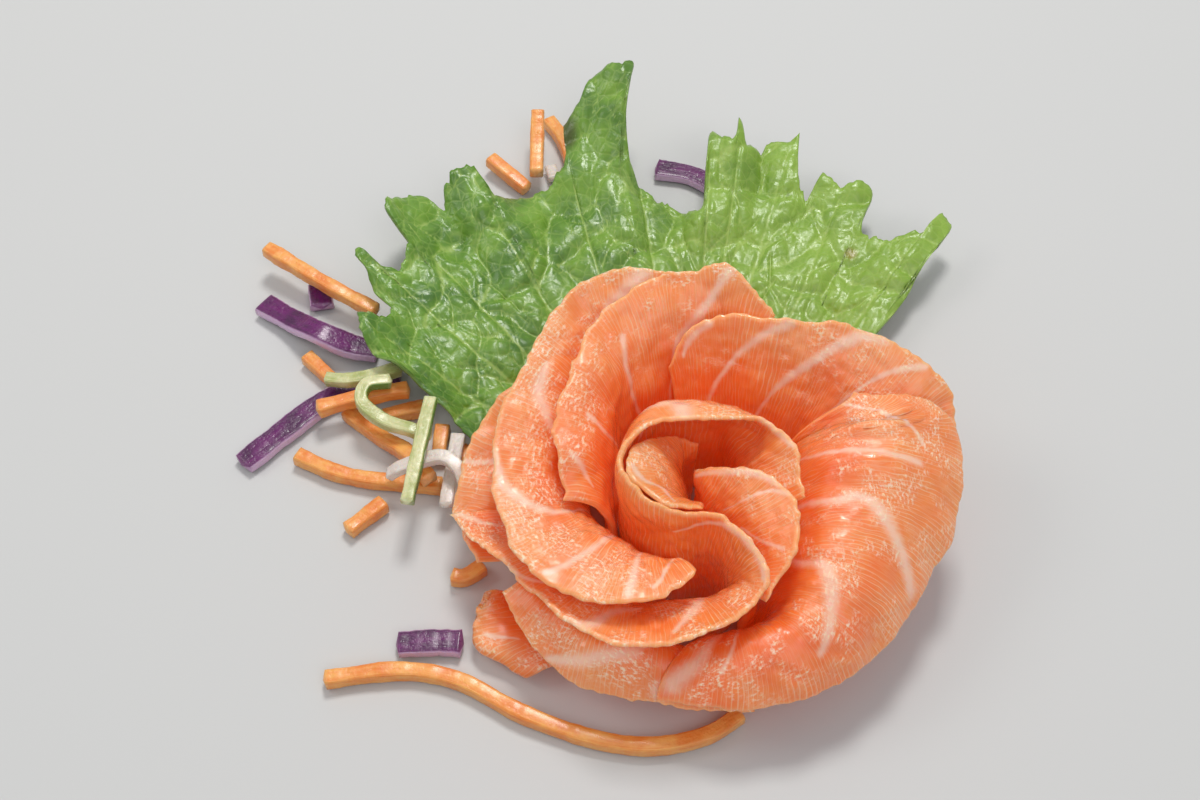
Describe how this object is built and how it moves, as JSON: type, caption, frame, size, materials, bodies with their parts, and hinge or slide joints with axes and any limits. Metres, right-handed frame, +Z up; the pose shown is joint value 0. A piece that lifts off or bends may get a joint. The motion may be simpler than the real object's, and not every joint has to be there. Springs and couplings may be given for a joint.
{
  "type": "salmon rose sashimi",
  "caption": "Rose folded from raw salmon slices, set before a frilled lettuce leaf with loose shreds of carrot, cucumber, radish and red cabbage.",
  "frame": {"origin": "centre of the footprint's bounding box, on the level the food stands on", "axes": "+X to the right as seen from the front, +Y from the rose towards the leaf, +Z up"},
  "size_m": [0.1339, 0.1432, 0.0344],
  "materials": {
    "salmon_flesh": "wet, soft, slightly translucent",
    "lettuce": "waxy, half gloss",
    "carrot": "moist cut faces",
    "cucumber": "moist, slightly translucent",
    "radish": "moist, slightly translucent",
    "red_cabbage": "moist, half gloss"
  },
  "bodies": {
    "root": {"petal_heart_wall": "salmon_flesh", "petal_heart_fold": "salmon_flesh", "petal_heart_flare": "salmon_flesh", "petal_long_left": "salmon_flesh", "petal_crest_left": "salmon_flesh", "petal_back": "salmon_flesh", "petal_right": "salmon_flesh", "petal_front": "salmon_flesh", "petal_outer_left": "salmon_flesh", "petal_under": "salmon_flesh", "lettuce_leaf": "lettuce", "carrot_long": "carrot", "carrot_far_left": "carrot", "carrot_short_left": "carrot", "carrot_thin_tip": "carrot", "carrot_sloping": "carrot", "carrot_stub": "carrot", "carrot_curved": "carrot", "carrot_low": "carrot", "carrot_upright": "carrot", "carrot_by_rose": "carrot", "carrot_curl": "carrot", "carrot_back_low": "carrot", "carrot_back_tall": "carrot", "carrot_back_right": "carrot", "cucumber_upper": "cucumber", "cucumber_hook": "cucumber", "cucumber_front": "cucumber", "radish_upright": "radish", "radish_arch": "radish", "radish_back": "radish", "cabbage_far_left": "red_cabbage", "cabbage_stub": "red_cabbage", "cabbage_long_left": "red_cabbage", "cabbage_front": "red_cabbage", "cabbage_back": "red_cabbage"}
  },
  "joints": []
}
